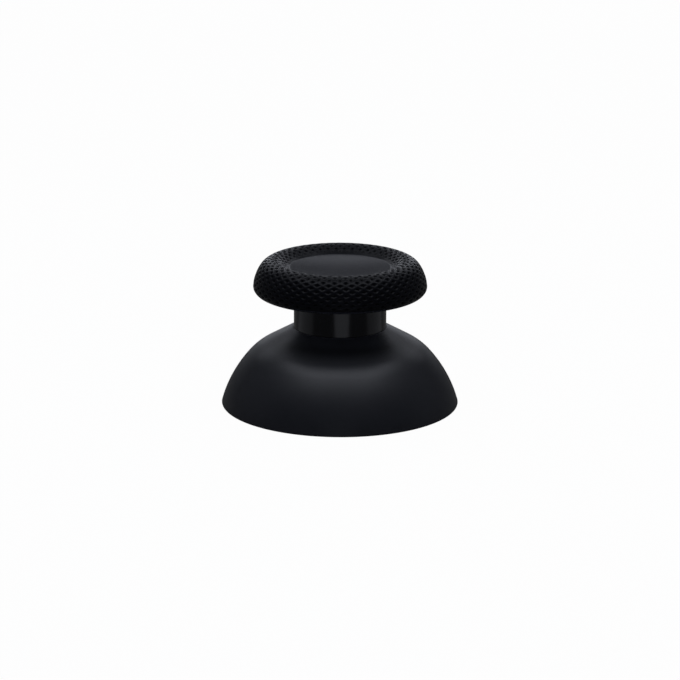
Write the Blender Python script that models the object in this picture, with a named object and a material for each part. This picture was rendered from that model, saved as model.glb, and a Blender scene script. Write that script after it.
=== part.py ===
"""Thumbstick cap of a game controller: a knurled mushroom head on a round neck over a hollow skirt.

Everything is in metres, +Z up, with the origin at the centre of the skirt's open end. The cap is
one moulding. Its section is turned about Z, the knurl is pressed into the rim, the ribs are added
and the shaft socket is cut. Points of the section are (distance from the axis, height).
"""

import math

import bmesh
import bpy
from mathutils import Matrix, Vector

# Skirt: part of a ball, then a straight shoulder up to the neck
SKIRT_RADIUS = 0.0125
SKIRT_BALL_DROP = 0.00342
SKIRT_WALL = 0.0012
SHOULDER_RADIUS = 0.00887
SHOULDER_BLEND = 0.006

# Neck
NECK_RADIUS = 0.00485
NECK_FOOT_HEIGHT = 0.0083
NECK_FOOT_FILLET = 0.00015
NECK_LENGTH = 0.00357
NECK_TOP_FILLET = 0.0006

# Head: a round lip, a bulging flank, a rounded crest and a shallow dish for the thumb
HEAD_RADIUS = 0.00908
HEAD_HEIGHT = 0.00359
LIP_ROUND = 0.0008
FLANK_ROUND = 0.0042
CREST_INSET = 0.00212
CREST_ROUND = 0.0017
CREST_INNER_ROUND = 0.0014
DISH_SLOPE_WIDTH = 0.00166
DISH_SLOPE_DEPTH = 0.00079
DISH_EDGE_FILLET = 0.0003
DISH_HOLLOW = 0.00035

# Knurl: a net of crossing ridges with a diamond-shaped pit in each mesh
KNURL_PITS_ROUND = 44
KNURL_ROW_SPACING = 0.00036
KNURL_RIDGE = 0.00004
KNURL_PIT = 0.0001
KNURL_LOWER_ANGLE = math.radians(-35)

# Inside: the boss that takes the shaft, its socket and the ribs that carry it
BOSS_RADIUS = 0.0034
BOSS_RECESS = 0.0028
BOSS_ROOT_FILLET = 0.0004
SOCKET_RADIUS = 0.00202
SOCKET_ACROSS_FLATS = 0.00304
SOCKET_DEPTH = 0.006
SOCKET_LEAD_IN = 0.0003
RIB_COUNT = 4
RIB_THICKNESS = 0.0008
RIB_INSET = 0.0016
RIB_RISE = 0.0003
RIB_BITE = 0.0004

# Facets
SEGMENTS = 2 * KNURL_PITS_ROUND
ARC_STEP = math.radians(6)
RESAMPLED_STEP = math.radians(3)
LIP_STEP = math.radians(15)
FILLET_STEP = math.radians(30)
DISH_STEP = math.radians(1.5)
SOCKET_ARC_FACETS = 8
SAME_POINT = 1e-7

# Finish
PLASTIC_COLOUR = (0.021, 0.022, 0.024, 1.0)
PLASTIC_ROUGHNESS = 0.42

# Sizes that follow from the ones above
BALL_RADIUS = math.hypot(SKIRT_RADIUS, SKIRT_BALL_DROP)
BALL_CENTRE = Vector((0.0, -SKIRT_BALL_DROP))
UNDERSIDE_HEIGHT = NECK_FOOT_HEIGHT + NECK_LENGTH
TOP_HEIGHT = UNDERSIDE_HEIGHT + HEAD_HEIGHT
CREST_RADIUS = HEAD_RADIUS - CREST_INSET
DISH_EDGE = Vector((CREST_RADIUS - DISH_SLOPE_WIDTH, TOP_HEIGHT - DISH_SLOPE_DEPTH))


def clear_scene():
    """Remove every object that the scene holds."""
    for item in list(bpy.data.objects):
        bpy.data.objects.remove(item, do_unlink=True)


def along(angle):
    """Return the unit vector at an angle from the radial axis."""
    return Vector((math.cos(angle), math.sin(angle)))


def angle_of(offset):
    """Return the angle of an offset from the radial axis."""
    return math.atan2(offset.y, offset.x)


def arc(centre, radius, start, end, step):
    """Return points on an arc from the start angle to the end angle, both included."""
    count = max(1, math.ceil(abs(end - start) / step - SAME_POINT))
    return [centre + along(start + (end - start) * i / count) * radius for i in range(count + 1)]


def fillet(before, corner, after, radius):
    """Return the arc that rounds a corner, its radius held to what the two sides can take."""
    side_in, side_out = before - corner, after - corner
    half = side_in.angle(side_out) / 2
    reach = min(radius / math.tan(half), side_in.length / 2, side_out.length / 2)
    radius = reach * math.tan(half)
    side_in.normalize()
    side_out.normalize()
    centre = corner + (side_in + side_out).normalized() * (radius / math.sin(half))
    start = angle_of(corner + side_in * reach - centre)
    turn = angle_of(corner + side_out * reach - centre) - start
    turn = (turn + math.pi) % (2 * math.pi) - math.pi
    return arc(centre, radius, start, start + turn, FILLET_STEP)


def skirt_line(depth, reach):
    """Return the skirt's line at a depth below its outside, from the open end in to a reach.

    It climbs the ball, rounds the shoulder on an arc that touches both sides, and runs straight on
    at the slope that leads the outside to the foot of the neck.
    """
    radius = BALL_RADIUS - depth
    corner = math.acos(SHOULDER_RADIUS / BALL_RADIUS)
    outer_shoulder = BALL_CENTRE + along(corner) * BALL_RADIUS
    run = (Vector((NECK_RADIUS, NECK_FOOT_HEIGHT)) - outer_shoulder).normalized()
    inward = Vector((-run.y, run.x))
    shoulder = BALL_CENTRE + along(corner) * radius
    tangent = along(corner + math.pi / 2)
    side = 1 if tangent.cross(run) > 0 else -1
    blend = SHOULDER_BLEND - side * depth
    offset = shoulder + inward * blend * side - BALL_CENTRE
    climb = offset.dot(run)
    spare = climb ** 2 - offset.length_squared + (radius - blend * side) ** 2
    centre = shoulder + inward * blend * side - run * (climb + side * math.sqrt(spare))
    touch = angle_of((centre - BALL_CENTRE) * side)
    leave = angle_of(-inward * side)
    rim = math.asin(SKIRT_BALL_DROP / radius)
    end = shoulder + run * (shoulder.x - reach) / -run.x
    ball = arc(BALL_CENTRE, radius, rim, angle_of(centre - BALL_CENTRE), ARC_STEP)
    return ball + arc(centre, blend, touch, leave, ARC_STEP)[1:] + [end]


def neck():
    """Return the neck, from the fillet at its foot to the fillet under the head."""
    below = skirt_line(0.0, NECK_RADIUS)[-2]
    foot = Vector((NECK_RADIUS, NECK_FOOT_HEIGHT))
    top = Vector((NECK_RADIUS, UNDERSIDE_HEIGHT))
    lip = Vector((HEAD_RADIUS - LIP_ROUND, UNDERSIDE_HEIGHT))
    return fillet(below, foot, top, NECK_FOOT_FILLET) + fillet(foot, top, lip, NECK_TOP_FILLET)


def flank():
    """Return the centre of the flank's arc and the angles at which it touches the lip and the crest."""
    lip = Vector((HEAD_RADIUS - LIP_ROUND, UNDERSIDE_HEIGHT + LIP_ROUND))
    crest = Vector((CREST_RADIUS, TOP_HEIGHT - CREST_ROUND))
    between = crest - lip
    to_lip, to_crest = FLANK_ROUND - LIP_ROUND, FLANK_ROUND - CREST_ROUND
    reach = (to_lip ** 2 - to_crest ** 2 + between.length_squared) / (2 * between.length)
    line = between.normalized()
    centre = lip + line * reach + Vector((-line.y, line.x)) * math.sqrt(to_lip ** 2 - reach ** 2)
    return centre, angle_of(lip - centre), angle_of(crest - centre)


def lip_arc(start, end, step):
    """Return the part of the lip's round between two angles."""
    centre = Vector((HEAD_RADIUS - LIP_ROUND, UNDERSIDE_HEIGHT + LIP_ROUND))
    return arc(centre, LIP_ROUND, start, end, step)


def crest_line():
    """Return the flank, the crest over the top and the slope down to the dish's edge.

    The slope touches the inner round, which is held to the largest that the slope can touch.
    """
    centre, start, end = flank()
    crest = Vector((CREST_RADIUS, TOP_HEIGHT - CREST_ROUND))
    largest = (DISH_SLOPE_WIDTH ** 2 + DISH_SLOPE_DEPTH ** 2) / (2 * DISH_SLOPE_DEPTH)
    inner_round = min(CREST_INNER_ROUND, largest)
    inner = Vector((CREST_RADIUS, TOP_HEIGHT - inner_round))
    to_edge = DISH_EDGE - inner
    slope = angle_of(to_edge) % (2 * math.pi) - math.acos(inner_round / to_edge.length)
    return (arc(centre, FLANK_ROUND, start, end, RESAMPLED_STEP)[:-1]
            + arc(crest, CREST_ROUND, end, math.pi / 2, RESAMPLED_STEP)
            + arc(inner, inner_round, math.pi / 2, slope, RESAMPLED_STEP)[1:])


def dish_line():
    """Return the dish from its edge to the axis."""
    edge_radius = DISH_EDGE.x
    radius = (edge_radius ** 2 + DISH_HOLLOW ** 2) / (2 * DISH_HOLLOW)
    centre = Vector((0.0, DISH_EDGE.y - DISH_HOLLOW + radius))
    return arc(centre, radius, angle_of(DISH_EDGE - centre), -math.pi / 2, DISH_STEP)


def evenly_spaced(line, spacing):
    """Return points at equal distances along a line, as near to the spacing as its length allows."""
    lengths = [(b - a).length for a, b in zip(line, line[1:])]
    count = max(2, round(sum(lengths) / spacing))
    points = []
    step = sum(lengths) / count
    place, passed = 0, 0.0
    for i in range(count):
        while passed + lengths[place] < i * step:
            passed += lengths[place]
            place += 1
        points.append(line[place].lerp(line[place + 1], (i * step - passed) / lengths[place]))
    return points + [line[-1]]


def cap_section():
    """Return the section from the axis in the boss round to the axis in the dish.

    The second value is the range of places in it that the knurl's rows take.
    """
    inside = skirt_line(SKIRT_WALL, BOSS_RADIUS)
    boss_foot = Vector((BOSS_RADIUS, BOSS_RECESS))
    boss_root = fillet(boss_foot, inside[-1], inside[-2], BOSS_ROOT_FILLET)
    lower = [Vector((0.0, BOSS_RECESS)), boss_foot] + boss_root + inside[-2::-1]
    outside = skirt_line(0.0, NECK_RADIUS)[:-1]
    under_lip = lip_arc(-math.pi / 2, KNURL_LOWER_ANGLE, LIP_STEP)[:-1]
    dish = dish_line()
    dish_edge = fillet(crest_line()[-1], DISH_EDGE, dish[1], DISH_EDGE_FILLET)
    grip = lip_arc(KNURL_LOWER_ANGLE, flank()[1], RESAMPLED_STEP)[:-1] + crest_line() + dish_edge[:1]
    rows = evenly_spaced(grip, KNURL_ROW_SPACING)
    before = lower + outside + neck() + under_lip
    section = before + rows + dish_edge[1:] + dish[1:]
    return section, range(len(before), len(before) + len(rows))


def turned(section):
    """Turn a section about Z into a closed mesh, in which each vertex keeps its place in the section."""
    mesh = bmesh.new()
    place = mesh.verts.layers.int.new("place")
    verts = [mesh.verts.new((point.x, 0.0, point.y)) for point in section]
    for i, vertex in enumerate(verts):
        vertex[place] = i
    edges = [mesh.edges.new(pair) for pair in zip(verts, verts[1:])]
    bmesh.ops.spin(mesh, geom=verts + edges, cent=(0, 0, 0), axis=(0, 0, 1), angle=2 * math.pi,
                   steps=SEGMENTS, use_merge=True)
    bmesh.ops.remove_doubles(mesh, verts=mesh.verts, dist=SAME_POINT)
    bmesh.ops.recalc_face_normals(mesh, faces=mesh.faces)
    return mesh


def knurl_height(row, column, rows):
    """Return how far a point of the lattice lies off the rim: nothing at the knurl's two borders."""
    if row in (rows[0], rows[-1]):
        return 0.0
    return KNURL_RIDGE if (row + column) % 2 else -KNURL_PIT


def press_knurl(mesh, section, rows):
    """Raise and sink every other vertex of the rows, and join the raised ones into a net of ridges."""
    place = mesh.verts.layers.int["place"]
    on_ridge = set()
    for vertex in mesh.verts:
        row = vertex[place]
        if row not in rows:
            continue
        tangent = (section[row + 1] - section[row - 1]).normalized()
        around = math.atan2(vertex.co.y, vertex.co.x)
        column = round(around / (2 * math.pi / SEGMENTS))
        outward = Vector((tangent.y, 0.0, -tangent.x))
        vertex.co += Matrix.Rotation(around, 3, "Z") @ outward * knurl_height(row, column, rows)
        if (row + column) % 2:
            on_ridge.add(vertex)
    for face in list(mesh.faces):
        if all(vertex[place] in rows for vertex in face.verts):
            bmesh.utils.face_split(face, *[vertex for vertex in face.verts if vertex in on_ridge])


def loft(rings):
    """Return a closed mesh through rings of equally many points, with its ends filled."""
    mesh = bmesh.new()
    loops = [[mesh.verts.new(point) for point in ring] for ring in rings]
    mesh.faces.new(loops[0])
    mesh.faces.new(loops[-1])
    for low, high in zip(loops, loops[1:]):
        for i in range(len(low)):
            mesh.faces.new((low[i - 1], low[i], high[i], high[i - 1]))
    bmesh.ops.recalc_face_normals(mesh, faces=mesh.faces)
    return mesh


def socket_outline(growth, height):
    """Return the socket's outline, a circle between two flats, grown by an amount at a height."""
    radius = SOCKET_RADIUS + growth
    half = SOCKET_ACROSS_FLATS / 2 + growth
    corner = math.asin(min(1.0, half / radius))
    step = 2 * corner / SOCKET_ARC_FACETS
    right = arc(Vector((0.0, 0.0)), radius, -corner, corner, step)
    left = arc(Vector((0.0, 0.0)), radius, math.pi - corner, math.pi + corner, step)
    return [(point.x, point.y, height) for point in right + left]


def socket_cutter():
    """Return the socket with its lead-in, from below the boss's end to the socket's blind end."""
    return loft([
        socket_outline(2 * SOCKET_LEAD_IN, BOSS_RECESS - SOCKET_LEAD_IN),
        socket_outline(0.0, BOSS_RECESS + SOCKET_LEAD_IN),
        socket_outline(0.0, BOSS_RECESS + SOCKET_DEPTH),
    ])


def rib_outline():
    """Return one rib's outline, which bites into the boss and ends in the middle of the wall."""
    line = skirt_line(SKIRT_WALL / 2, BOSS_RADIUS - RIB_BITE)
    foot = BOSS_RECESS + RIB_INSET
    height = foot + RIB_RISE
    index = next(i for i, point in enumerate(line) if point.y > height)
    below, above = line[index - 1], line[index]
    outer = below.lerp(above, (height - below.y) / (above.y - below.y))
    return [Vector((BOSS_RADIUS - RIB_BITE, foot)), outer] + line[index:]


def ribs():
    """Return the ribs round the boss, turned between the socket's flats and its round sides."""
    mesh = bmesh.new()
    for i in range(RIB_COUNT):
        turn = Matrix.Rotation(2 * math.pi * (i + 0.5) / RIB_COUNT, 3, "Z")
        sides = [[turn @ Vector((point.x, offset, point.y)) for point in rib_outline()]
                 for offset in (-RIB_THICKNESS / 2, RIB_THICKNESS / 2)]
        rib = loft(sides)
        moulded = bpy.data.meshes.new("rib")
        rib.to_mesh(moulded)
        rib.free()
        mesh.from_mesh(moulded)
        bpy.data.meshes.remove(moulded)
    return mesh


def add_object(name, mesh):
    """Turn a bmesh into an object in the scene and return it."""
    data = bpy.data.meshes.new(name)
    mesh.to_mesh(data)
    mesh.free()
    item = bpy.data.objects.new(name, data)
    bpy.context.scene.collection.objects.link(item)
    return item


def add_guide(name, mesh):
    """Add an object that only shapes another one and isn't part of the cap."""
    guide = add_object(name, mesh)
    guide.hide_render = True
    guide.display_type = "WIRE"
    return guide


def combine(item, operation, guide):
    """Add a Boolean with a guide to an object."""
    modifier = item.modifiers.new(guide.name, "BOOLEAN")
    modifier.operation = operation
    modifier.object = guide
    modifier.solver = "EXACT"


def black_plastic():
    """Return the moulding's plastic."""
    material = bpy.data.materials.new("black_plastic")
    material.use_nodes = True
    shader = material.node_tree.nodes["Principled BSDF"]
    shader.inputs["Base Color"].default_value = PLASTIC_COLOUR
    shader.inputs["Roughness"].default_value = PLASTIC_ROUGHNESS
    shader.inputs["Metallic"].default_value = 0.0
    return material


def thumbstick_cap():
    """Build the cap as one object."""
    section, rows = cap_section()
    mesh = turned(section)
    press_knurl(mesh, section, rows)
    cap = add_object("thumbstick_cap", mesh)
    cap.data.materials.append(black_plastic())
    cap.data.shade_smooth()
    cap.data.set_sharp_from_angle(angle=math.radians(35))
    combine(cap, "UNION", add_guide("rib_guide", ribs()))
    combine(cap, "DIFFERENCE", add_guide("socket_guide", socket_cutter()))
    return cap


clear_scene()
thumbstick_cap()
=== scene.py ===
"""Looks of a game controller's thumbstick cap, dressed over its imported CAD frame.

The cap is one black moulding with three finishes: a dull head with a knurled rim, a glossy neck
and a satin skirt. Everything is in metres, +Z up, with the origin at the centre of the skirt's open
end. Points of a section are (distance from the axis, height), with the material on the line's left.
"""

from __future__ import annotations

import logging
import math
from dataclasses import dataclass, field, replace
from enum import Enum
from typing import Any

import bmesh
import bpy
from bmesh.types import BMesh
from bpy.types import Material, Node, NodesModifier, NodeTree, Object
from bpy.types import NodeSocket as Socket
from mathutils import Euler, Matrix, Vector

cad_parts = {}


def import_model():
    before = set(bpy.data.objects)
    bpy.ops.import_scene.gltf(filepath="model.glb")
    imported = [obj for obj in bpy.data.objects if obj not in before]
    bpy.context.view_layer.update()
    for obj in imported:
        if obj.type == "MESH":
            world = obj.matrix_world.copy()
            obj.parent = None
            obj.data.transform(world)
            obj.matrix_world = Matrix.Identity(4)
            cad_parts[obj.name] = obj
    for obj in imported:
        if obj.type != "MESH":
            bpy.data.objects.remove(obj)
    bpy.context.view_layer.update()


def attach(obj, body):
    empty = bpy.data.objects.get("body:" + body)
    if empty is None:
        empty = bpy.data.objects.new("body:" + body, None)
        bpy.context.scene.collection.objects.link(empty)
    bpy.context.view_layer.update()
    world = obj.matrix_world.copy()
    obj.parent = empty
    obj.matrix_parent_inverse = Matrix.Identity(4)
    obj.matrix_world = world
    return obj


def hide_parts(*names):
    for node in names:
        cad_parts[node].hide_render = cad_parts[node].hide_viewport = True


LOG = logging.getLogger("thumbstick_cap")
CAP_NODE = "thumbstick_cap"
PIT_ATTRIBUTE = "pit"
BAND_ATTRIBUTE = "knurled"
SAME_POINT = 1e-6
SAME_VERT = 1e-7
QUARTER = math.pi / 2
LAMP_TINT = (0.95, 0.985, 1.08)
PLAIN_COLOUR = (0.02, 0.02, 0.02, 1.0)
GRAIN_NOISE = {"Detail": 3.0, "Roughness": 0.55}
CLOUD_NOISE = {"Detail": 4.0, "Roughness": 0.5}
FLOAT, COLOUR, GEOMETRY = "NodeSocketFloat", "NodeSocketColor", "NodeSocketGeometry"
SOCKET_KINDS = {float: FLOAT, int: "NodeSocketInt", tuple: COLOUR}

Section = list[Vector]


def along(angle: float) -> Vector:
    """Return the unit vector at an angle from the radial axis."""
    return Vector((math.cos(angle), math.sin(angle)))


def angle_of(offset: Vector) -> float:
    """Return the angle of an offset from the radial axis."""
    return math.atan2(offset.y, offset.x)


def arc(centre: Vector, radius: float, start: float, end: float, step: float) -> Section:
    """Step along an arc of a section.

    Args:
        centre: The arc's centre.
        radius: Its radius.
        start: The angle at which it starts.
        end: The angle at which it ends.
        step: The largest angle between two points.

    Returns:
        The arc's points, both ends included.
    """
    count = max(1, math.ceil(abs(end - start) / step - SAME_POINT))
    return [centre + along(start + (end - start) * i / count) * radius for i in range(count + 1)]


def fillet(before: Vector, corner: Vector, after: Vector, radius: float, step: float) -> Section:
    """Round a corner of a section.

    Args:
        before: A point on the side that leads to the corner.
        corner: The sharp corner.
        after: A point on the side that leaves it.
        radius: The radius, which is held to what the two sides can take.
        step: The largest angle between two points.

    Returns:
        The points of the arc that touches both sides.
    """
    side_in, side_out = before - corner, after - corner
    half = side_in.angle(side_out) / 2
    reach = min(radius / math.tan(half), side_in.length / 2, side_out.length / 2)
    held = reach * math.tan(half)
    side_in.normalize()
    side_out.normalize()
    centre = corner + (side_in + side_out).normalized() * (held / math.sin(half))
    start = angle_of(corner + side_in * reach - centre)
    turn = angle_of(corner + side_out * reach - centre) - start
    turn = (turn + math.pi) % (2 * math.pi) - math.pi
    return arc(centre, held, start, start + turn, step)


@dataclass(frozen=True)
class CapSizes:
    """The cap's driving sizes, as the CAD frame has them."""

    skirt_radius: float = 0.0125
    ball_drop: float = 0.00342
    skirt_wall: float = 0.0012
    shoulder_radius: float = 0.00887
    shoulder_blend: float = 0.006
    neck_radius: float = 0.00485
    neck_foot: float = 0.0083
    neck_foot_fillet: float = 0.00015
    neck_top_fillet: float = 0.0006
    underside: float = 0.01187
    top: float = 0.01546
    head_radius: float = 0.00908
    lip_round: float = 0.0008
    flank_round: float = 0.0042
    crest_inset: float = 0.00212
    crest_round: float = 0.0017
    crest_inner_round: float = 0.0014
    dish_slope_width: float = 0.00166
    dish_slope_depth: float = 0.00079
    dish_edge_fillet: float = 0.0003
    dish_hollow: float = 0.00035

    @property
    def ball_radius(self) -> float:
        """Return the radius of the ball that the skirt's outside is part of."""
        return math.hypot(self.skirt_radius, self.ball_drop)

    @property
    def ball_centre(self) -> Vector:
        """Return that ball's centre, which lies below the open end."""
        return Vector((0.0, -self.ball_drop))

    @property
    def crest_radius(self) -> float:
        """Return the radius at which the rim is highest."""
        return self.head_radius - self.crest_inset

    @property
    def lip_centre(self) -> Vector:
        """Return the centre of the round at the rim's lower edge."""
        return Vector((self.head_radius - self.lip_round, self.underside + self.lip_round))

    @property
    def crest_centre(self) -> Vector:
        """Return the centre of the round between the flank and the rim's top."""
        return Vector((self.crest_radius, self.top - self.crest_round))

    @property
    def dish_edge(self) -> Vector:
        """Return the corner between the rim's inner slope and the dish."""
        return Vector((self.crest_radius - self.dish_slope_width, self.top - self.dish_slope_depth))


class NodeBuilder:
    """Adds and links the nodes of one tree, for shaders and for Geometry Nodes alike."""

    def __init__(self, tree: NodeTree) -> None:
        """Take the tree to build in."""
        self.tree = tree

    def feed(self, socket: Socket, value: Any) -> None:
        """Link an input, or give it a plain value.

        Args:
            socket: The input to feed.
            value: The output to link it to, a node for its first output, or its value.
        """
        if isinstance(value, Node):
            value = value.outputs[0]
        if isinstance(value, Socket):
            self.tree.links.new(value, socket)
        else:
            socket.default_value = value

    def fill(self, node: Node, inputs: dict[str | int, Any]) -> Node:
        """Feed several inputs of a node.

        Args:
            node: The node.
            inputs: Input names or numbers with what they are fed.

        Returns:
            The same node.
        """
        for name, value in inputs.items():
            self.feed(node.inputs[name], value)
        return node

    def add(self, kind: str, inputs: dict[str | int, Any] | None = None, **settings: Any) -> Node:
        """Add a node.

        Args:
            kind: The node's type name.
            inputs: Input names or numbers with what they are fed.
            **settings: Properties, which are set first because some choose the inputs.

        Returns:
            The new node.
        """
        node = self.tree.nodes.new(kind)
        for name, value in settings.items():
            setattr(node, name, value)
        return self.fill(node, inputs or {})

    def math(self, operation: str, *values: Any) -> Socket:
        """Return the output of a Math node that takes sockets or numbers in order."""
        return self.add("ShaderNodeMath", dict(enumerate(values)), operation=operation).outputs[0]

    def rest(self, share: Socket) -> Socket:
        """Return what a share leaves of one."""
        return self.math("SUBTRACT", 1.0, share)

    def smooth_step(self, value: Socket, low: Any, high: Any) -> Socket:
        """Return a value's smooth rise from 0 at the low limit to 1 at the high one."""
        limits = {"Value": value, "From Min": low, "From Max": high}
        return self.add("ShaderNodeMapRange", limits, interpolation_type="SMOOTHSTEP").outputs[0]

    def scaled(self, vector: Socket, factor: Socket) -> Socket:
        """Return a vector or a colour times a factor."""
        inputs = {"Vector": vector, "Scale": factor}
        return self.add("ShaderNodeVectorMath", inputs, operation="SCALE").outputs[0]

    def split(self, vector: Socket | Node) -> Any:
        """Return the X, Y and Z outputs of a vector."""
        return self.add("ShaderNodeSeparateXYZ", {"Vector": vector}).outputs


def new_group(name: str, kind: str, inputs: dict[str, Any],
              outputs: dict[str, str]) -> tuple[NodeBuilder, Any]:
    """Start a node group.

    Args:
        name: The group's name.
        kind: The type name of its tree.
        inputs: Input names with their defaults, or with a socket type where there is no default.
        outputs: Output names with their socket types.

    Returns:
        A builder for the group's tree, and its inputs as the sockets to build from.
    """
    tree = bpy.data.node_groups.new(name, kind)
    for label, value in inputs.items():
        socket_type = SOCKET_KINDS.get(type(value), value)
        socket = tree.interface.new_socket(label, in_out="INPUT", socket_type=socket_type)
        if type(value) in SOCKET_KINDS:
            socket.default_value = value
    for label, socket_type in outputs.items():
        tree.interface.new_socket(label, in_out="OUTPUT", socket_type=socket_type)
    nodes = NodeBuilder(tree)
    return nodes, nodes.add("NodeGroupInput").outputs


def mould_grain() -> NodeTree:
    """Build the shared effect of a mould's surface: a fine grain over faint, broad cloudiness.

    Returns:
        A shader group that puts out a grain height from 0 to 1, a roughness and a colour.
    """
    nodes, inputs = new_group("mould_grain", "ShaderNodeTree", {
        "Grain Scale": 9000.0, "Cloud Scale": 260.0, "Roughness": 0.4, "Roughness Spread": 0.04,
        "Colour": PLAIN_COLOUR, "Colour Spread": 0.15,
    }, {"Height": FLOAT, "Roughness": FLOAT, "Colour": COLOUR})
    place = nodes.add("ShaderNodeTexCoord").outputs["Object"]
    grain = nodes.add("ShaderNodeTexNoise",
                      {"Vector": place, "Scale": inputs["Grain Scale"], **GRAIN_NOISE})
    cloud = nodes.add("ShaderNodeTexNoise",
                      {"Vector": place, "Scale": inputs["Cloud Scale"], **CLOUD_NOISE})
    drift = nodes.math("MULTIPLY_ADD", cloud, 2.0, -1.0)
    rough = nodes.math("MULTIPLY_ADD", drift, inputs["Roughness Spread"], inputs["Roughness"])
    brightness = nodes.math("MULTIPLY_ADD", drift, inputs["Colour Spread"], 1.0)
    nodes.add("NodeGroupOutput", {"Height": grain, "Roughness": rough,
                                  "Colour": nodes.scaled(inputs["Colour"], brightness)})
    return nodes.tree


def pit_shade() -> NodeTree:
    """Build the shared effect of a texture's pits, which stay duller than its ridges and get
    painted shade in their colour.

    Returns:
        A shader group that puts out a roughness, a colour darkened in the pits as painted shade,
        and the gloss that the ridges alone have.
    """
    nodes, inputs = new_group("pit_shade", "ShaderNodeTree", {
        "Roughness": 0.4, "Pit Roughness": 0.8, "Colour": PLAIN_COLOUR, "Pit Painted Shade": 0.5,
        "Ridge Edge": 0.5,
    }, {"Roughness": FLOAT, "Colour": COLOUR, "Gloss": FLOAT})
    pit = nodes.add("ShaderNodeAttribute", attribute_name=PIT_ATTRIBUTE).outputs["Fac"]
    more = nodes.math("SUBTRACT", inputs["Pit Roughness"], inputs["Roughness"])
    # Painted shade: the colour darkens in the pits, where the knurl's hollows would be shaded.
    left = nodes.rest(nodes.math("MULTIPLY", pit, inputs["Pit Painted Shade"]))
    nodes.add("NodeGroupOutput", {
        "Roughness": nodes.math("MULTIPLY_ADD", pit, more, inputs["Roughness"]),
        "Colour": nodes.scaled(inputs["Colour"], left),
        "Gloss": nodes.rest(nodes.smooth_step(pit, 0.0, inputs["Ridge Edge"])),
    })
    return nodes.tree


def crook_painted_light() -> NodeTree:
    """Build the shared painted light round the axis, which pales the colour in the crook that the
    head shades.

    Returns:
        A shader group that puts out a colour, paler inside a radius as painted light and fading to
        the plain one.
    """
    nodes, inputs = new_group("crook_painted_light", "ShaderNodeTree", {
        "Colour": PLAIN_COLOUR, "Painted Light": 0.0, "Inner Radius": 0.0056, "Outer Radius": 0.0068,
    }, {"Colour": COLOUR})
    place = nodes.split(nodes.add("ShaderNodeTexCoord").outputs["Object"])
    square = nodes.math("MULTIPLY", place["Y"], place["Y"])
    radius = nodes.math("SQRT", nodes.math("MULTIPLY_ADD", place["X"], place["X"], square))
    # Painted light: the crook's colour is paled where the head's shade keeps light off.
    crook = nodes.rest(nodes.smooth_step(radius, inputs["Inner Radius"], inputs["Outer Radius"]))
    share = nodes.math("MULTIPLY_ADD", crook, inputs["Painted Light"], 1.0)
    nodes.add("NodeGroupOutput", {"Colour": nodes.scaled(inputs["Colour"], share)})
    return nodes.tree


@dataclass(frozen=True)
class MouldedFinish:
    """One finish of the cap's black plastic, as the mould or a soft coat leaves it."""

    name: str
    colour: tuple[float, float, float]
    roughness: float
    roughness_spread: float
    specular_level: float
    grain_scale: float
    grain_height: float
    cloud_scale: float = 260.0
    colour_spread: float = 0.12
    pit_roughness: float = 0.0
    # Painted shade: how much the colour darkens in the knurl's pits.
    pit_painted_shade: float = 0.0
    ridge_edge: float = 0.5
    gloss_ior: float = 1.2
    gloss_roughness: float = 0.3
    # Painted light in the crook round the neck's foot, and the radii over which it fades.
    painted_light: float = 0.0
    painted_light_radii: tuple[float, float] = (0.0056, 0.0068)

    def material(self, grain: NodeTree, pits: NodeTree, painted_light: NodeTree) -> Material:
        """Build the finish as a material.

        Args:
            grain: The shared group that makes the mould's grain.
            pits: The shared group that shades a texture's pits.
            painted_light: The shared group that pales the crook round the neck's foot.

        Returns:
            The material.
        """
        material = bpy.data.materials.new(self.name)
        material.use_nodes = True
        material.diffuse_color = (*self.colour, 1.0)
        nodes = NodeBuilder(material.node_tree)
        shader = material.node_tree.nodes["Principled BSDF"]
        surface = nodes.add("ShaderNodeGroup", {
            "Grain Scale": self.grain_scale, "Cloud Scale": self.cloud_scale,
            "Roughness": self.roughness, "Roughness Spread": self.roughness_spread,
            "Colour": (*self.colour, 1.0), "Colour Spread": self.colour_spread,
        }, node_tree=grain)
        bump = nodes.add("ShaderNodeBump", {
            "Strength": 1.0, "Distance": self.grain_height, "Height": surface.outputs["Height"],
        })
        shade = surface
        if self.pit_roughness:
            shade = nodes.add("ShaderNodeGroup", {
                "Roughness": surface.outputs["Roughness"], "Pit Roughness": self.pit_roughness,
                "Colour": surface.outputs["Colour"], "Pit Painted Shade": self.pit_painted_shade,
                "Ridge Edge": self.ridge_edge,
            }, node_tree=pits)
            nodes.fill(shader, {
                "Coat Weight": shade.outputs["Gloss"], "Coat Roughness": self.gloss_roughness,
                "Coat IOR": self.gloss_ior,
            })
        colour = shade.outputs["Colour"]
        # Painted light: the crook round the neck's foot is paled, standing in for light that the
        # head's shade keeps off.
        if self.painted_light:
            inner, outer = self.painted_light_radii
            colour = nodes.add("ShaderNodeGroup", {
                "Colour": colour, "Painted Light": self.painted_light, "Inner Radius": inner, "Outer Radius": outer,
            }, node_tree=painted_light).outputs["Colour"]
        nodes.fill(shader, {
            "Base Color": colour, "Roughness": shade.outputs["Roughness"],
            "Normal": bump, "Specular IOR Level": self.specular_level,
        })
        return material


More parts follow.
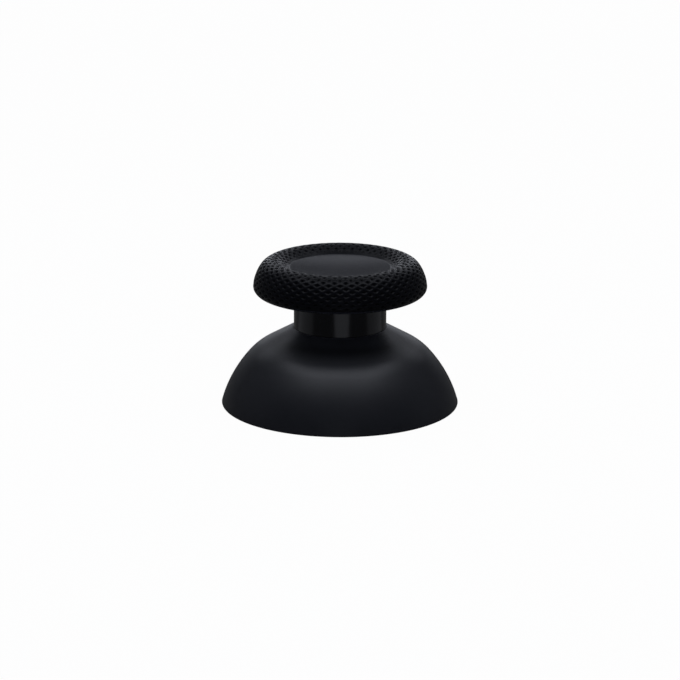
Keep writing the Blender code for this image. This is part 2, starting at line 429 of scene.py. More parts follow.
class Finish(Enum):
    """The cap's finishes, each on its own stretch of the moulding."""

    GRIP = MouldedFinish("grip_knurled", (0.0012, 0.0015, 0.0030), 0.60, 0.05, 0.04, 14000.0, 2e-6,
                         pit_roughness=0.9, pit_painted_shade=0.6, ridge_edge=1.0, gloss_ior=1.156,
                         gloss_roughness=0.27)
    DISH = MouldedFinish("dish_dull", (0.0080, 0.0085, 0.0115), 0.25, 0.03, 0.13, 14000.0, 1e-6)
    NECK = MouldedFinish("neck_gloss", (0.0018, 0.0021, 0.0036), 0.16, 0.02, 0.27, 3000.0, 2e-7)
    SKIRT = MouldedFinish("skirt_satin", (0.0106, 0.0113, 0.0145), 0.38, 0.02, 0.255, 9000.0, 1e-6,
                          painted_light=2.4)
    INSIDE = MouldedFinish("inside_plain", (0.008, 0.0085, 0.010), 0.4, 0.04, 0.5, 6000.0, 2e-6)


class Wardrobe:
    """Makes each finish's material once and hands it out."""

    def __init__(self) -> None:
        """Build the shared effects and every finish."""
        effects = mould_grain(), pit_shade(), crook_painted_light()
        self.materials = {finish: finish.value.material(*effects) for finish in Finish}

    def __getitem__(self, finish: Finish) -> Material:
        """Return a finish's material."""
        return self.materials[finish]


def turned(sections: list[Section], columns: int) -> BMesh:
    """Turn sections about Z.

    Args:
        sections: The lines to turn, each from end to end.
        columns: How many steps go round.

    Returns:
        The turned mesh, closed wherever a section meets the axis or itself.
    """
    mesh = bmesh.new()
    for section in sections:
        verts = [mesh.verts.new((point.x, 0.0, point.y)) for point in section]
        edges = [mesh.edges.new(pair) for pair in zip(verts, verts[1:])]
        bmesh.ops.spin(mesh, geom=verts + edges, cent=(0, 0, 0), axis=(0, 0, 1),
                       angle=2 * math.pi, steps=columns, use_merge=True)
    bmesh.ops.remove_doubles(mesh, verts=mesh.verts, dist=SAME_VERT)
    return mesh


def put(name: str, data: bpy.types.ID) -> Object:
    """Put data into the scene.

    Args:
        name: The name of its object.
        data: A mesh, a curve, a lamp's or a camera's data.

    Returns:
        The new object, at the origin.
    """
    item = bpy.data.objects.new(name, data)
    bpy.context.scene.collection.objects.link(item)
    return item


def add_object(name: str, mesh: BMesh) -> Object:
    """Turn a bmesh into an object.

    Args:
        name: The object's name.
        mesh: The bmesh, which is freed.

    Returns:
        The new object, at the origin.
    """
    data = bpy.data.meshes.new(name)
    mesh.to_mesh(data)
    mesh.free()
    return put(name, data)


def bake(item: Object) -> None:
    """Turn an object's modifiers into plain mesh.

    Args:
        item: The object, which loses its modifiers.
    """
    graph = bpy.context.evaluated_depsgraph_get()
    plain = bpy.data.meshes.new_from_object(item.evaluated_get(graph))
    item.modifiers.clear()
    item.data = plain


def face_outward(item: Object) -> None:
    """Turn a closed mesh's faces outward and drop the material slots that hold nothing.

    Args:
        item: The object, whose empty slots no face uses.
    """
    mesh = bmesh.new()
    mesh.from_mesh(item.data)
    bmesh.ops.recalc_face_normals(mesh, faces=mesh.faces)
    mesh.to_mesh(item.data)
    mesh.free()
    slots = item.data.materials
    for index in reversed(range(len(slots))):
        if slots[index] is None:
            slots.pop(index=index)


def remove(item: Object) -> None:
    """Remove a guide that has done its work."""
    bpy.data.objects.remove(item, do_unlink=True)


def set_inputs(modifier: NodesModifier, values: dict[str, Any]) -> None:
    """Set a Geometry Nodes modifier's inputs.

    Args:
        modifier: The modifier.
        values: Socket names with the values that they take.
    """
    for entry in modifier.node_group.interface.items_tree:
        if entry.item_type == "SOCKET" and entry.in_out == "INPUT" and entry.name in values:
            modifier[entry.identifier] = values[entry.name]


@dataclass
class Knurl:
    """The net of crossing ridges round the rim, with a diamond-shaped pit in each mesh."""

    pits_round: int = 44
    pit_rows: int = 17
    row_stretch: float = 0.1
    steps_per_pit: int = 12
    steps_per_row: int = 6
    ridge: float = 0.00002
    pit_depth: float = 0.0001
    crossing_blend: float = 0.06
    pit_floor: float = 0.02
    ridge_top: float = 0.38
    lower_border: float = 0.05
    upper_border: float = 0.12

    @property
    def columns(self) -> int:
        """Return how many columns of faces go round the rim."""
        return self.pits_round * self.steps_per_pit

    def net_height(self, nodes: NodeBuilder, inputs: Any, turn: Socket,
                   rise: Socket) -> tuple[Socket, Socket]:
        """Build the net's height over the rim.

        Args:
            nodes: The tree to build in.
            inputs: The tree's inputs.
            turn: The share of the way round, from 0 to 1.
            rise: The share of the way up the section, from 0 to 1.

        Returns:
            The height in metres, from the ridges down to the pits and none at the borders, and how
            far a place lies within a pit, from 0 to 1.
        """
        across = nodes.math("MULTIPLY", turn, inputs["Pits Round"])
        squeeze = nodes.math("MULTIPLY", inputs["Row Stretch"], nodes.rest(rise))
        warped = nodes.math("MULTIPLY", rise, nodes.math("ADD", 1.0, squeeze))
        up = nodes.math("MULTIPLY", warped, nodes.math("DIVIDE", inputs["Pit Rows"], 2.0))
        leaning_right = nodes.math("PINGPONG", nodes.math("ADD", across, up), 0.5)
        leaning_left = nodes.math("PINGPONG", nodes.math("SUBTRACT", across, up), 0.5)
        nearest = nodes.math("SMOOTH_MAX", leaning_right, leaning_left, inputs["Crossing Blend"])
        net = nodes.smooth_step(nearest, inputs["Pit Floor"], inputs["Ridge Top"])
        total = nodes.math("ADD", inputs["Ridge"], inputs["Pit Depth"])
        height = nodes.math("SUBTRACT", nodes.math("MULTIPLY", net, total), inputs["Pit Depth"])
        lower = nodes.smooth_step(rise, 0.0, inputs["Lower Border"])
        upper = nodes.smooth_step(nodes.rest(rise), 0.0, inputs["Upper Border"])
        fade = nodes.math("MULTIPLY", lower, upper)
        return (nodes.math("MULTIPLY", height, fade),
                nodes.math("MULTIPLY", nodes.rest(net), fade))

    def tree(self) -> NodeTree:
        """Build the tree that lays the knurled band along a line and joins the smooth parts to it.

        Returns:
            The Geometry Nodes tree.
        """
        nodes, inputs = new_group("knurled_band", "GeometryNodeTree", {
            "Geometry": GEOMETRY, "Section": "NodeSocketObject", "Pits Round": self.pits_round,
            "Pit Rows": self.pit_rows, "Steps per Pit": self.steps_per_pit,
            "Steps per Row": self.steps_per_row, "Ridge": self.ridge, "Pit Depth": self.pit_depth,
            "Row Stretch": self.row_stretch, "Crossing Blend": self.crossing_blend,
            "Pit Floor": self.pit_floor, "Ridge Top": self.ridge_top,
            "Lower Border": self.lower_border, "Upper Border": self.upper_border,
            "Material": "NodeSocketMaterial",
        }, {"Geometry": GEOMETRY})
        columns = nodes.math("MULTIPLY", inputs["Pits Round"], inputs["Steps per Pit"])
        rows = nodes.math("MULTIPLY", inputs["Pit Rows"], inputs["Steps per Row"])
        grid = nodes.add("GeometryNodeMeshGrid", {
            "Size X": 1.0, "Size Y": 1.0, "Vertices X": nodes.math("ADD", columns, 1.0),
            "Vertices Y": nodes.math("ADD", rows, 1.0),
        })
        flat = nodes.split(nodes.add("GeometryNodeInputPosition"))
        turn = nodes.math("ADD", flat["X"], 0.5)
        rise = nodes.math("ADD", flat["Y"], 0.5)

        line = nodes.add("GeometryNodeObjectInfo", {"Object": inputs["Section"]})
        sample = nodes.add("GeometryNodeSampleCurve", {
            "Curves": line.outputs["Geometry"], "Factor": rise,
        }, mode="FACTOR", use_all_curves=True)
        point = nodes.split(sample.outputs["Position"])
        tangent = nodes.split(sample.outputs["Tangent"])
        height, pit = self.net_height(nodes, inputs, turn, rise)
        reach = nodes.math("MULTIPLY_ADD", tangent["Z"], height, point["X"])
        lift = nodes.math("SUBTRACT", point["Z"], nodes.math("MULTIPLY", tangent["X"], height))
        angle = nodes.math("MULTIPLY", turn, 2 * math.pi)
        place = nodes.add("ShaderNodeCombineXYZ", {
            "X": nodes.math("MULTIPLY", reach, nodes.math("COSINE", angle)),
            "Y": nodes.math("MULTIPLY", reach, nodes.math("SINE", angle)), "Z": lift,
        })
        pits = nodes.add("GeometryNodeStoreNamedAttribute", {
            "Geometry": grid, "Name": PIT_ATTRIBUTE, "Value": pit,
        }, data_type="FLOAT", domain="POINT")
        band = nodes.add("GeometryNodeSetPosition", {"Geometry": pits, "Position": place})
        mark = nodes.add("GeometryNodeStoreNamedAttribute", {
            "Geometry": band, "Name": BAND_ATTRIBUTE, "Value": True,
        }, data_type="BOOLEAN", domain="FACE")

        join = nodes.add("GeometryNodeJoinGeometry", {"Geometry": mark})
        nodes.feed(join.inputs["Geometry"], inputs["Geometry"])
        merge = nodes.add("GeometryNodeMergeByDistance", {"Geometry": join, "Distance": SAME_POINT})
        real = nodes.add("GeometryNodeRealizeInstances", {"Geometry": merge})
        is_band = nodes.add("GeometryNodeInputNamedAttribute", {"Name": BAND_ATTRIBUTE},
                            data_type="BOOLEAN")
        finish = nodes.add("GeometryNodeSetMaterial", {
            "Geometry": real, "Selection": is_band, "Material": inputs["Material"],
        })
        nodes.add("NodeGroupOutput", {"Geometry": finish})
        return nodes.tree


@dataclass
class Head:
    """The mushroom head: underside, knurled rim and dish, closed over the neck's end."""

    sizes: CapSizes
    knurl: Knurl = field(default_factory=Knurl)
    knurl_start: float = math.radians(-35)
    fine_step: float = math.radians(1.5)
    smooth_step: float = math.radians(5)
    dish_step: float = math.radians(0.4)
    corner_reach: float = 2.0
    bottom_inset: float = 0.0006

    def flank(self) -> tuple[Vector, float, float]:
        """Find the flank's arc.

        Returns:
            Its centre, and the angles at which it touches the lip's and the crest's rounds.
        """
        sizes = self.sizes
        between = sizes.crest_centre - sizes.lip_centre
        to_lip = sizes.flank_round - sizes.lip_round
        to_crest = sizes.flank_round - sizes.crest_round
        reach = (to_lip ** 2 - to_crest ** 2 + between.length_squared) / (2 * between.length)
        line = between.normalized()
        aside = Vector((-line.y, line.x)) * math.sqrt(to_lip ** 2 - reach ** 2)
        centre = sizes.lip_centre + line * reach + aside
        return centre, angle_of(sizes.lip_centre - centre), angle_of(sizes.crest_centre - centre)

    def rim_line(self) -> Section:
        """Draw the rim's line.

        Returns:
            The line from the lower lip over the crest to the dish's corner.
        """
        sizes = self.sizes
        centre, start, end = self.flank()
        inner = Vector((sizes.crest_radius, sizes.top - sizes.crest_inner_round))
        to_corner = sizes.dish_edge - inner
        touch = math.acos(sizes.crest_inner_round / to_corner.length)
        slope = angle_of(to_corner) % (2 * math.pi) - touch
        return (arc(sizes.lip_centre, sizes.lip_round, self.knurl_start, start, self.fine_step)[:-1]
                + arc(centre, sizes.flank_round, start, end, self.fine_step)[:-1]
                + arc(sizes.crest_centre, sizes.crest_round, end, QUARTER, self.fine_step)
                + arc(inner, sizes.crest_inner_round, QUARTER, slope, self.fine_step)[1:])

    def dish_lines(self) -> tuple[Section, Section]:
        """Draw the dish.

        Returns:
            The fillet at the dish's edge, and the dish from there to the axis.
        """
        edge, hollow = self.sizes.dish_edge, self.sizes.dish_hollow
        radius = (edge.x ** 2 + hollow ** 2) / (2 * hollow)
        centre = Vector((0.0, edge.y - hollow + radius))
        dish = arc(centre, radius, angle_of(edge - centre), -QUARTER, self.dish_step)
        radius = self.sizes.dish_edge_fillet
        reach = self.corner_reach * radius
        after = next(point for point in dish if (point - edge).length > reach)
        corner = fillet(self.rim_line()[-1], edge, after, radius, self.smooth_step)
        return corner, [point for point in dish if point.x < corner[-1].x]

    def section_curve(self, line: Section) -> Object:
        """Turn a line of the section into a curve for the knurl to follow.

        Args:
            line: The line's points.

        Returns:
            The curve's object.
        """
        data = bpy.data.curves.new("rim_section", "CURVE")
        data.dimensions = "3D"
        spline = data.splines.new("POLY")
        spline.points.add(len(line) - 1)
        for point, target in zip(line, spline.points):
            target.co = (point.x, 0.0, point.y, 1.0)
        return put("rim_section", data)

    def build(self, wardrobe: Wardrobe) -> Object:
        """Build the head as one closed mesh.

        Args:
            wardrobe: The finishes.

        Returns:
            The head, with the knurl laid between its smooth parts.
        """
        sizes = self.sizes
        corner, dish = self.dish_lines()
        rim = self.rim_line() + corner[:1]
        inside = sizes.neck_radius - self.bottom_inset
        floor = sizes.underside + self.bottom_inset
        below = [Vector((0.0, floor)), Vector((inside, floor)), Vector((inside, sizes.underside))]
        lip = arc(sizes.lip_centre, sizes.lip_round, -QUARTER, self.knurl_start, self.smooth_step)
        head = add_object("cap_head", turned([below + lip, corner + dish], self.knurl.columns))
        for finish in (Finish.DISH, Finish.GRIP):
            head.data.materials.append(wardrobe[finish])
        guide = self.section_curve(rim)
        modifier = head.modifiers.new("knurled_band", "NODES")
        modifier.node_group = self.knurl.tree()
        set_inputs(modifier, {"Section": guide, "Material": wardrobe[Finish.GRIP]})
        bake(head)
        remove(guide)
        face_outward(head)
        head.data.shade_smooth()
        return head


@dataclass
class Inside:
    """What the skirt hides: the boss with its shaft socket, and the ribs round it."""

    boss_radius: float = 0.0034
    boss_recess: float = 0.0028
    boss_root_fillet: float = 0.0004
    boss_edge: float = 0.0002
    socket_radius: float = 0.00202
    socket_across_flats: float = 0.00304
    socket_depth: float = 0.006
    socket_lead_in: float = 0.0003
    socket_facets: int = 24
    rib_count: int = 4
    rib_thickness: float = 0.0008
    rib_inset: float = 0.0016
    rib_rise: float = 0.0003
    rib_bite: float = 0.0004

    def socket_outline(self, growth: float, height: float) -> list[Vector]:
        """Draw the socket's outline, a circle between two flats.

        Args:
            growth: How far it lies outside the socket's wall.
            height: The height at which it lies.

        Returns:
            The outline's points.
        """
        radius = self.socket_radius + growth
        corner = math.asin((self.socket_across_flats / 2 + growth) / radius)
        step = 2 * corner / self.socket_facets
        middle = Vector((0.0, 0.0))
        points = arc(middle, radius, -corner, corner, step)
        points += arc(middle, radius, math.pi - corner, math.pi + corner, step)
        return [Vector((point.x, point.y, height)) for point in points]

    def socket_guide(self) -> Object:
        """Build the socket's cutter.

        Returns:
            The cutter, from below the boss's end to the blind end.
        """
        mouth = self.boss_recess
        return add_object("socket_guide", loft([
            self.socket_outline(2 * self.socket_lead_in, mouth - self.socket_lead_in),
            self.socket_outline(0.0, mouth + self.socket_lead_in),
            self.socket_outline(0.0, mouth + self.socket_depth),
        ]))

    def rib_tree(self) -> NodeTree:
        """Build the tree that sets copies of one rib at even turns about Z.

        Returns:
            The Geometry Nodes tree.
        """
        nodes, inputs = new_group("ribs_round", "GeometryNodeTree", {
            "Geometry": GEOMETRY, "Count": self.rib_count, "Material": "NodeSocketMaterial",
        }, {"Geometry": GEOMETRY})
        points = nodes.add("GeometryNodePoints", {"Count": inputs["Count"]})
        index = nodes.add("GeometryNodeInputIndex")
        step = nodes.math("DIVIDE", 2 * math.pi, inputs["Count"])
        turn = nodes.math("MULTIPLY", nodes.math("ADD", index, 0.5), step)
        rotation = nodes.add("ShaderNodeCombineXYZ", {"Z": turn})
        copies = nodes.add("GeometryNodeInstanceOnPoints", {
            "Points": points, "Instance": inputs["Geometry"], "Rotation": rotation,
        })
        real = nodes.add("GeometryNodeRealizeInstances", {"Geometry": copies})
        finish = nodes.add("GeometryNodeSetMaterial",
                           {"Geometry": real, "Material": inputs["Material"]})
        nodes.add("NodeGroupOutput", {"Geometry": finish})
        return nodes.tree

    def rib_guide(self, wall_line: Section, material: Material) -> Object:
        """Build the ribs.

        Args:
            wall_line: The middle of the skirt's wall, from the open end in to the boss.
            material: The finish of the skirt's inside.

        Returns:
            All ribs as one object, to be joined to the moulding.
        """
        foot = self.boss_recess + self.rib_inset
        height = foot + self.rib_rise
        index = next(i for i, point in enumerate(wall_line) if point.y > height)
        below, above = wall_line[index - 1], wall_line[index]
        outer = below.lerp(above, (height - below.y) / (above.y - below.y))
        outline = [Vector((self.boss_radius - self.rib_bite, foot)), outer] + wall_line[index:]
        half = self.rib_thickness / 2
        sides = [[Vector((point.x, offset, point.y)) for point in outline]
                 for offset in (-half, half)]
        guide = add_object("rib_guide", loft(sides))
        modifier = guide.modifiers.new("ribs_round", "NODES")
        modifier.node_group = self.rib_tree()
        set_inputs(modifier, {"Material": material})
        bake(guide)
        return guide


def loft(rings: list[list[Vector]]) -> BMesh:
    """Skin rings of equally many points.

    Args:
        rings: The rings, from one end to the other.

    Returns:
        A closed mesh with its ends filled.
    """
    mesh = bmesh.new()
    loops = [[mesh.verts.new(point) for point in ring] for ring in rings]
    mesh.faces.new(loops[0])
    mesh.faces.new(loops[-1])
    for low, high in zip(loops, loops[1:]):
        for i in range(len(low)):
            mesh.faces.new((low[i - 1], low[i], high[i], high[i - 1]))
    bmesh.ops.recalc_face_normals(mesh, faces=mesh.faces)
    return mesh


@dataclass
class Stem:
    """The neck and the hollow skirt, with what the skirt hides, as one closed moulding."""

    sizes: CapSizes
    inside: Inside = field(default_factory=Inside)
    columns: int = 264
    arc_step: float = math.radians(1.5)
    fillet_step: float = math.radians(7.5)
    sharp_angle: float = math.radians(32)
    facing_up: float = 0.5
    edge_points: int = 3
    finishes: tuple[Finish, ...] = (Finish.SKIRT, Finish.NECK, Finish.INSIDE)
    rim_edge: float = 0.00012
    head_bite: float = 0.0004

    def skirt_line(self, depth: float, reach: float) -> Section:
        """Draw the skirt's line at a depth below its outside.

        Args:
            depth: How far the line lies within the outside.
            reach: The distance from the axis at which it ends.

        Returns:
            The line up the ball, round the shoulder and straight on towards the neck.
        """
        sizes = self.sizes
        radius = sizes.ball_radius - depth
        blend = sizes.shoulder_blend - depth
        corner = math.acos(sizes.shoulder_radius / sizes.ball_radius)
        outer_shoulder = sizes.ball_centre + along(corner) * sizes.ball_radius
        run = (Vector((sizes.neck_radius, sizes.neck_foot)) - outer_shoulder).normalized()
        inward = Vector((-run.y, run.x))
        shoulder = sizes.ball_centre + along(corner) * radius
        offset = shoulder + inward * blend - sizes.ball_centre
        climb = offset.dot(run)
        spare = climb ** 2 - offset.length_squared + (radius - blend) ** 2
        centre = shoulder + inward * blend - run * (climb + math.sqrt(spare))
        touch = angle_of(centre - sizes.ball_centre)
        rim = math.asin(sizes.ball_drop / radius)
        end = shoulder + run * (shoulder.x - reach) / -run.x
        return (arc(sizes.ball_centre, radius, rim, touch, self.arc_step)
                + arc(centre, blend, touch, angle_of(-inward), self.arc_step)[1:] + [end])

    def inner_section(self) -> Section:
        """Draw the hidden section.

        Returns:
            The line from the axis in the boss out to the skirt's open end.
        """
        sizes, inside, skip = self.sizes, self.inside, self.edge_points
        hollow = self.skirt_line(sizes.skirt_wall, inside.boss_radius)
        foot = Vector((inside.boss_radius, inside.boss_recess))
        axis = Vector((0.0, inside.boss_recess))
        outer = Vector((sizes.skirt_radius, 0.0))
        edge = fillet(axis, foot, hollow[-1], inside.boss_edge, self.fillet_step)
        root = fillet(foot, hollow[-1], hollow[-2], inside.boss_root_fillet, self.fillet_step)
        rim = fillet(hollow[skip], hollow[0], outer, self.rim_edge, self.fillet_step)
        return [axis] + edge + root + hollow[-2:skip - 1:-1] + rim

    def outer_section(self) -> Section:
        """Draw the seen section.

        Returns:
            The line from the skirt's open end up to the neck's end within the head.
        """
        sizes, skip = self.sizes, self.edge_points
        outside = self.skirt_line(0.0, sizes.neck_radius)
        inner_rim = Vector((sizes.skirt_radius - sizes.skirt_wall, 0.0))
        rim = fillet(inner_rim, outside[0], outside[skip], self.rim_edge, self.fillet_step)
        foot, top = outside[-1], Vector((sizes.neck_radius, sizes.underside))
        under_head = Vector((sizes.head_radius - sizes.lip_round, sizes.underside))
        bottom = fillet(outside[-2], foot, top, sizes.neck_foot_fillet, self.fillet_step)
        fan = fillet(foot, top, under_head, sizes.neck_top_fillet, self.fillet_step)
        end = Vector((fan[-1].x, sizes.underside + self.head_bite))
        return rim + outside[skip:-1] + bottom + fan + [end, Vector((0.0, end.y))]

    def on_outside(self, reach: float, height: float, middle: Section) -> bool:
        """Tell on which side of the skirt's wall a point lies.

        Args:
            reach: The point's distance from the axis.
            height: Its height.
            middle: The middle of the wall, from the open end inwards.

        Returns:
            Whether the point lies on the seen side, above the middle.
        """
        for low, high in zip(middle, middle[1:]):
            if high.x <= reach <= low.x:
                share = (low.x - reach) / (low.x - high.x)
                return height > low.y + (high.y - low.y) * share
        return reach > middle[0].x

    def finish_of(self, face: bpy.types.MeshPolygon, middle: Section) -> Finish:
        """Choose the finish of a face.

        Args:
            face: A face of the moulding.
            middle: The middle of the skirt's wall, from the open end inwards.

        Returns:
            The finish of the stretch that the face lies on.
        """
        sizes = self.sizes
        reach, height = math.hypot(face.center.x, face.center.y), face.center.z
        neck_reach = sizes.neck_radius + sizes.neck_top_fillet + SAME_POINT
        if height > sizes.neck_foot - SAME_POINT and reach < neck_reach:
            return Finish.NECK
        from_ball = math.hypot(reach, height + sizes.ball_drop)
        within = from_ball < sizes.ball_radius - sizes.skirt_wall / 2 and height < sizes.neck_foot
        if within and face.normal.z < self.facing_up and not self.on_outside(reach, height, middle):
            return Finish.INSIDE
        return Finish.SKIRT

    def dress(self, stem: Object) -> None:
        """Give each face the finish of its stretch of the moulding.

        Args:
            stem: The moulding, whose slots hold the finishes in order.
        """
        middle = self.skirt_line(self.sizes.skirt_wall / 2,
                                 self.sizes.neck_radius - self.sizes.skirt_wall)
        for face in stem.data.polygons:
            face.material_index = self.finishes.index(self.finish_of(face, middle))

    def build(self, wardrobe: Wardrobe) -> Object:
        """Build the neck and skirt.

        Args:
            wardrobe: The finishes.

        Returns:
            The closed moulding with its ribs joined and its socket cut.
        """
        mesh = turned([self.inner_section() + self.outer_section()], self.columns)
        bmesh.ops.recalc_face_normals(mesh, faces=mesh.faces)
        stem = add_object("cap_stem", mesh)
        for finish in self.finishes:
            stem.data.materials.append(wardrobe[finish])
        wall_line = self.skirt_line(self.sizes.skirt_wall / 2,
                                    self.inside.boss_radius - self.inside.rib_bite)
        ribs = self.inside.rib_guide(wall_line, wardrobe[Finish.INSIDE])
        socket = self.inside.socket_guide()
        for guide, operation in ((ribs, "UNION"), (socket, "DIFFERENCE")):
            modifier = stem.modifiers.new(guide.name, "BOOLEAN")
            modifier.operation = operation
            modifier.object = guide
            modifier.solver = "EXACT"
        bake(stem)
        remove(ribs)
        remove(socket)
        self.dress(stem)
        stem.data.shade_smooth()
        stem.data.set_sharp_from_angle(angle=self.sharp_angle)
        return stem


@dataclass(frozen=True)
class Softbox:
    """A soft lamp that hangs round the cap and faces it. Brightness 1 looks white in a mirror."""

    name: str
    azimuth: float
    elevation: float
    width: float
    height: float
    brightness: float
    distance: float = 0.30

    def stance(self, target: Vector) -> tuple[Vector, Euler]:
        """Return where the lamp hangs and how it is turned to face a point."""
        back = direction(self.azimuth, self.elevation)
        return target + back * self.distance, back.to_track_quat("Z", "Y").to_euler()

    def build(self, target: Vector) -> None:
        """Build the lamp, which the camera doesn't see.

        Args:
            target: The point on the axis that it faces or lies round.
        """
        light = bpy.data.lights.new(self.name, "AREA")
        light.shape = "RECTANGLE"
        light.size, light.size_y = self.width, self.height
        light.energy = math.pi * self.width * self.height * self.brightness
        light.color = LAMP_TINT
        lamp = put(self.name, light)
        lamp.visible_camera = False
        lamp.location, lamp.rotation_euler = self.stance(target)


@dataclass(frozen=True)
class FloorCard(Softbox):
    """A lamp that lies on the floor and faces up, for the glossy neck to mirror."""

    distance: float = 0.043
    floor_gap: float = 0.0002

    def stance(self, target: Vector) -> tuple[Vector, Euler]:
        """Lay the card on the floor.

        Args:
            target: The point on the axis that it lies round.

        Returns:
            Where the card lies and how it is turned to face up.
        """
        place = target + direction(self.azimuth, self.elevation) * self.distance
        place.z = self.floor_gap
        return place, Euler((math.pi, 0.0, math.radians(self.azimuth)))


def both_sides(lamp: Softbox) -> tuple[Softbox, Softbox]:
    """Return a lamp and its mirror image on the cap's other side."""
    return (replace(lamp, name=f"{lamp.name}_right"),
            replace(lamp, name=f"{lamp.name}_left", azimuth=-lamp.azimuth))


def direction(azimuth: float, elevation: float) -> Vector:
    """Return the unit vector towards a place round the cap.

    Args:
        azimuth: Degrees round from the camera's side, -Y, towards +X.
        elevation: Degrees above the horizon.

    Returns:
        The direction from the cap.
    """
    turn, rise = math.radians(azimuth), math.radians(elevation)
    level = math.cos(rise)
    return Vector((math.sin(turn) * level, -math.cos(turn) * level, math.sin(rise)))


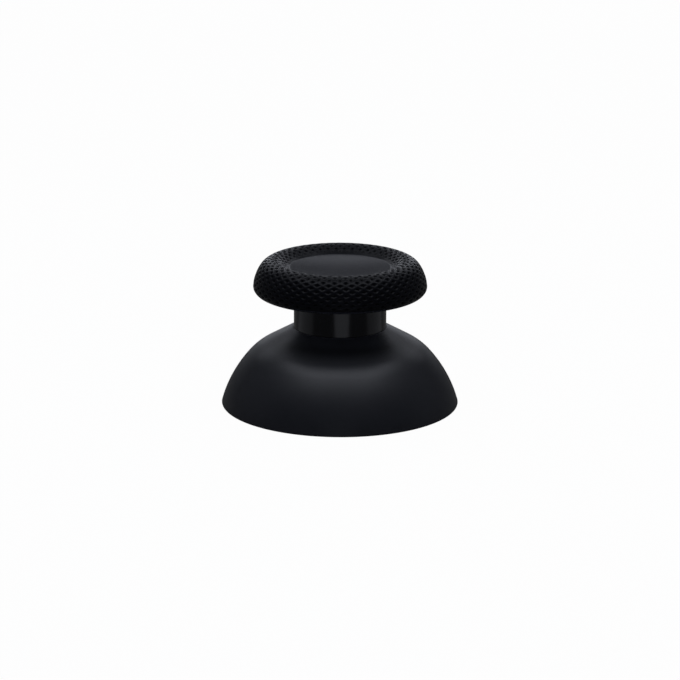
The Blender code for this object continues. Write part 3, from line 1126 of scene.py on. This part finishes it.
@dataclass
class Studio:
    """The pale floor, the white surroundings, the lamps and the camera."""

    target: Vector = field(default_factory=lambda: Vector((0.0, 0.0, 0.0075)))
    floor_radius: float = 1.2
    floor_sides: int = 96
    floor_drop: float = 0.00002
    floor_colour: tuple[float, float, float] = (0.8, 0.8, 0.8)
    floor_white: float = 0.97
    floor_in_gloss: float = 0.09
    sky_in_gloss: float = 0.01
    sky_light: float = 0.03
    camera_elevation: float = 15.93
    camera_distance: float = 0.300
    camera_lens: float = 151.2
    camera_sensor: float = 36.0
    camera_drop: float = 0.00077
    camera_roll: float = math.radians(0.173)
    lamps: tuple[Softbox, ...] = (
        Softbox("overhead_softbox", 0.0, 80.0, 0.26, 0.08, 2.70),
        Softbox("top_softbox", 0.0, 68.0, 0.26, 0.08, 2.42),
        Softbox("front_softbox", 0.0, 56.0, 0.26, 0.08, 0.20),
        Softbox("front_low_softbox", 0.0, 12.0, 0.10, 0.05, 0.50),
        Softbox("back_high_softbox", 180.0, 64.0, 0.40, 0.10, 0.80),
        Softbox("back_softbox", 180.0, 34.0, 0.44, 0.08, 0.98),
        Softbox("back_low_softbox", 180.0, 24.0, 0.44, 0.05, 0.27),
        Softbox("back_wide_softbox", 180.0, 8.0, 0.60, 0.07, 0.14),
        Softbox("horizon_softbox", 180.0, 3.0, 0.30, 0.03, 0.40),
        *both_sides(Softbox("back_edge_softbox", 170.0, 10.0, 0.05, 0.09, 1.15)),
        *both_sides(Softbox("side_top_softbox", 90.0, 62.0, 0.20, 0.08, 2.42)),
        *both_sides(Softbox("side_high_softbox", 90.0, 48.0, 0.24, 0.12, 0.25)),
        *both_sides(Softbox("side_low_softbox", 100.0, 20.0, 0.26, 0.16, 0.12)),
        FloorCard("front_card", 4.0, 0.0, 0.022, 0.030, 0.64),
        *both_sides(FloorCard("side_card", 92.0, 0.0, 0.032, 0.030, 0.19)),
    )

    def seen_light(self, nodes: NodeBuilder, in_gloss: float) -> tuple[Socket, Socket]:
        """Build what the surroundings show to the rays that see them.

        Args:
            nodes: The tree to build in.
            in_gloss: How bright they are to glossy and transmitted rays, where 1 is white.

        Returns:
            Whether a ray sees them, 0 or 1, and how bright they are to it.
        """
        path = nodes.add("ShaderNodeLightPath").outputs
        bent = nodes.math("MAXIMUM", path["Is Glossy Ray"], path["Is Transmission Ray"])
        seen = nodes.math("MAXIMUM", path["Is Camera Ray"], bent)
        dimmed = nodes.math("MULTIPLY", bent, in_gloss)
        return seen, nodes.math("MAXIMUM", path["Is Camera Ray"], dimmed)

    def floor(self) -> None:
        """Build the floor, white to the camera apart from the cap's soft shadow."""
        mesh = bmesh.new()
        bmesh.ops.create_circle(mesh, cap_ends=True, segments=self.floor_sides,
                                radius=self.floor_radius)
        bmesh.ops.translate(mesh, verts=mesh.verts, vec=(0.0, 0.0, -self.floor_drop))
        floor = add_object("studio_floor", mesh)
        material = bpy.data.materials.new("studio_floor")
        material.use_nodes = True
        nodes = NodeBuilder(material.node_tree)
        material.node_tree.nodes.remove(material.node_tree.nodes["Principled BSDF"])
        plain = nodes.add("ShaderNodeBsdfDiffuse", {"Color": (*self.floor_colour, 1.0)})
        seen, strength = self.seen_light(nodes, self.floor_in_gloss)
        white = nodes.add("ShaderNodeEmission", {"Strength": strength})
        share = nodes.math("MULTIPLY", seen, self.floor_white)
        mix = nodes.add("ShaderNodeMixShader", {0: share, 1: plain, 2: white})
        nodes.fill(material.node_tree.nodes["Material Output"], {"Surface": mix})
        floor.data.materials.append(material)

    def world(self) -> None:
        """Make the surroundings white to the camera and dim as a light."""
        world = bpy.data.worlds.new("studio")
        bpy.context.scene.world = world
        world.use_nodes = True
        nodes = NodeBuilder(world.node_tree)
        background = world.node_tree.nodes["Background"]
        seen, strength = self.seen_light(nodes, self.sky_in_gloss)
        unseen = nodes.math("MULTIPLY", nodes.rest(seen), self.sky_light)
        nodes.fill(background, {"Strength": nodes.math("ADD", strength, unseen),
                                "Color": (1.0, 1.0, 1.0, 1.0)})

    def camera(self) -> None:
        """Build the camera at the photograph's angle."""
        data = bpy.data.cameras.new("photo_camera")
        data.lens = self.camera_lens
        data.sensor_width = self.camera_sensor
        camera = put("photo_camera", data)
        camera.location = self.target + direction(0.0, self.camera_elevation) * self.camera_distance
        aim = self.target - Vector((0.0, 0.0, self.camera_drop))
        look = (aim - camera.location).to_track_quat("-Z", "Y").to_matrix()
        camera.rotation_euler = (look @ Matrix.Rotation(self.camera_roll, 3, "Z")).to_euler()
        bpy.context.scene.camera = camera

    def build(self) -> None:
        """Set up the floor, the surroundings, the lamps and the camera."""
        self.floor()
        self.world()
        for lamp in self.lamps:
            lamp.build(self.target)
        self.camera()
        bpy.context.scene.view_settings.view_transform = "Standard"


def seat(piece: Object) -> None:
    """Fix a finished piece to the cap's body and report it.

    Args:
        piece: The piece, which stands for the cap's CAD node.
    """
    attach(piece, "root")
    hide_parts(CAP_NODE)
    piece.data.calc_loop_triangles()
    LOG.info("%s: %d triangles", piece.name, len(piece.data.loop_triangles))


def main() -> None:
    """Load the frame, dress the cap, light it and log each piece's triangles."""
    logging.basicConfig(level=logging.INFO, format="%(name)s: %(message)s")
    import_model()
    sizes = CapSizes()
    wardrobe = Wardrobe()
    seat(Head(sizes).build(wardrobe))
    seat(Stem(sizes).build(wardrobe))
    Studio().build()


if __name__ == "__main__":
    main()
